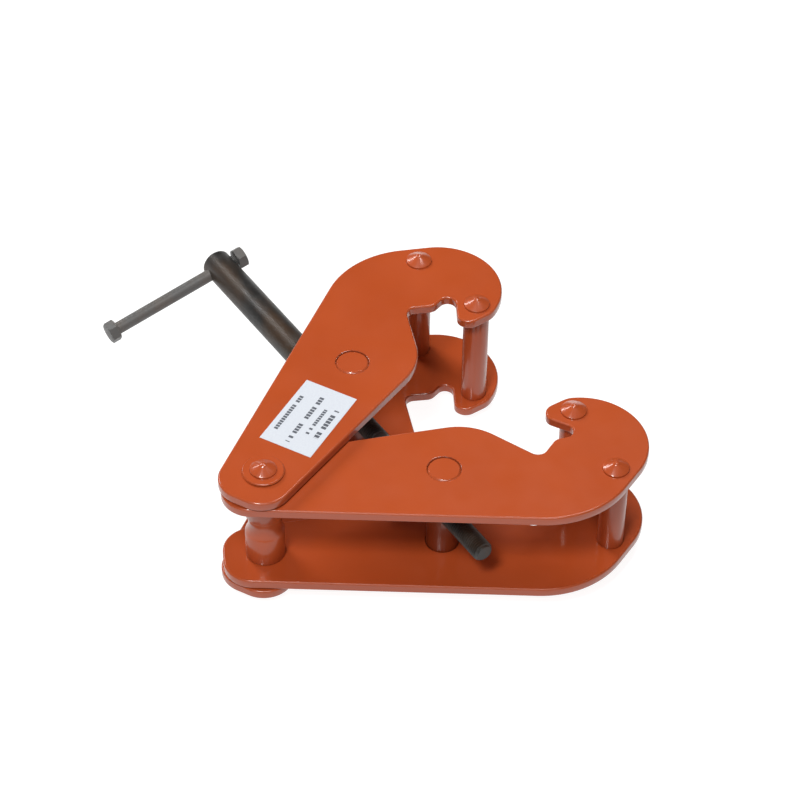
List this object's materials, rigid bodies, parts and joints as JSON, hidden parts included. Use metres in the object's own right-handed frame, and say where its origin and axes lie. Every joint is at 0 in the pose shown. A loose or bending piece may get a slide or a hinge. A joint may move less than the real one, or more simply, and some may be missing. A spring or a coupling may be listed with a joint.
{
  "type": "beam clamp",
  "caption": "Screw-adjusted beam clamp: two hooked double-plate jaws pivot on a load bar and close on a beam flange when the cross-threaded spindle is turned.",
  "frame": {"origin": "middle of the load bar, where both jaws pivot", "axes": "+Z along the load bar, up as the clamp lies on its side; +X midway between the jaws towards the beam flange; +Y towards the outer jaw and the handle end of the spindle"},
  "size_m": [0.3048, 0.4255, 0.1206],
  "materials": {
    "orange_paint": "glossy enamel over cut steel plate",
    "blackened_steel": "black oxide, oiled",
    "label_vinyl": null
  },
  "bodies": {
    "inner_jaw": {"inner_jaw_plate_top": "orange_paint", "inner_jaw_plate_bottom": "orange_paint", "inner_nose_rod": "orange_paint", "inner_heel_rod": "orange_paint", "load_bar": "orange_paint", "pivot_washer_top": "orange_paint", "pivot_washer_bottom": "orange_paint"},
    "outer_jaw": {"outer_jaw_plate_top": "orange_paint", "outer_jaw_plate_bottom": "orange_paint", "outer_nose_rod": "orange_paint", "outer_heel_rod": "orange_paint", "rating_label": "label_vinyl"},
    "inner_trunnion": {"inner_trunnion": "orange_paint"},
    "outer_trunnion": {"outer_trunnion": "orange_paint"},
    "stop_washer": {"stop_washer": "blackened_steel"},
    "spindle": {"spindle": "blackened_steel"},
    "handle": {"handle_bolt": "blackened_steel", "handle_nut": "blackened_steel"}
  },
  "joints": [
    {"name": "jaw_hinge", "type": "hinge", "parent": "inner_jaw", "child": "outer_jaw", "pos_m": [0, 0, 0], "axis": [0, 0, 1], "range_deg": [-20.8, 45.4]},
    {"name": "inner_trunnion_pivot", "type": "hinge", "parent": "inner_jaw", "child": "inner_trunnion", "pos_m": [0.11848, -0.0626, 0], "axis": [0, 0, 1], "range_deg": [-10.4, 22.7]},
    {"name": "outer_trunnion_pivot", "type": "hinge", "parent": "outer_jaw", "child": "outer_trunnion", "pos_m": [0.11848, 0.0626, 0], "axis": [0, 0, 1], "range_deg": [-22.7, 10.4]},
    {"name": "spindle_travel", "type": "slide", "parent": "inner_trunnion", "child": "stop_washer", "axis": [0, 1, 0], "range_m": [-0.02, 0.0435]},
    {"name": "spindle_spin", "type": "hinge", "parent": "stop_washer", "child": "spindle", "pos_m": [0.11848, 0.0626, 0], "axis": [0, 1, 0], "range_deg": [-3562.5, 7796.1]},
    {"name": "handle_slide", "type": "slide", "parent": "spindle", "child": "handle", "axis": [0.9848, 0, 0.1736], "range_m": [-0.0014, 0.0876]}
  ],
  "couplings": [
    {"joint": "jaw_hinge", "follows": "spindle_spin", "ratio": 0.0058106},
    {"joint": "inner_trunnion_pivot", "follows": "spindle_spin", "ratio": 0.0029053},
    {"joint": "outer_trunnion_pivot", "follows": "spindle_spin", "ratio": -0.0029053},
    {"joint": "spindle_travel", "follows": "spindle_spin", "m_per_rad": 0.00031831}
  ]
}
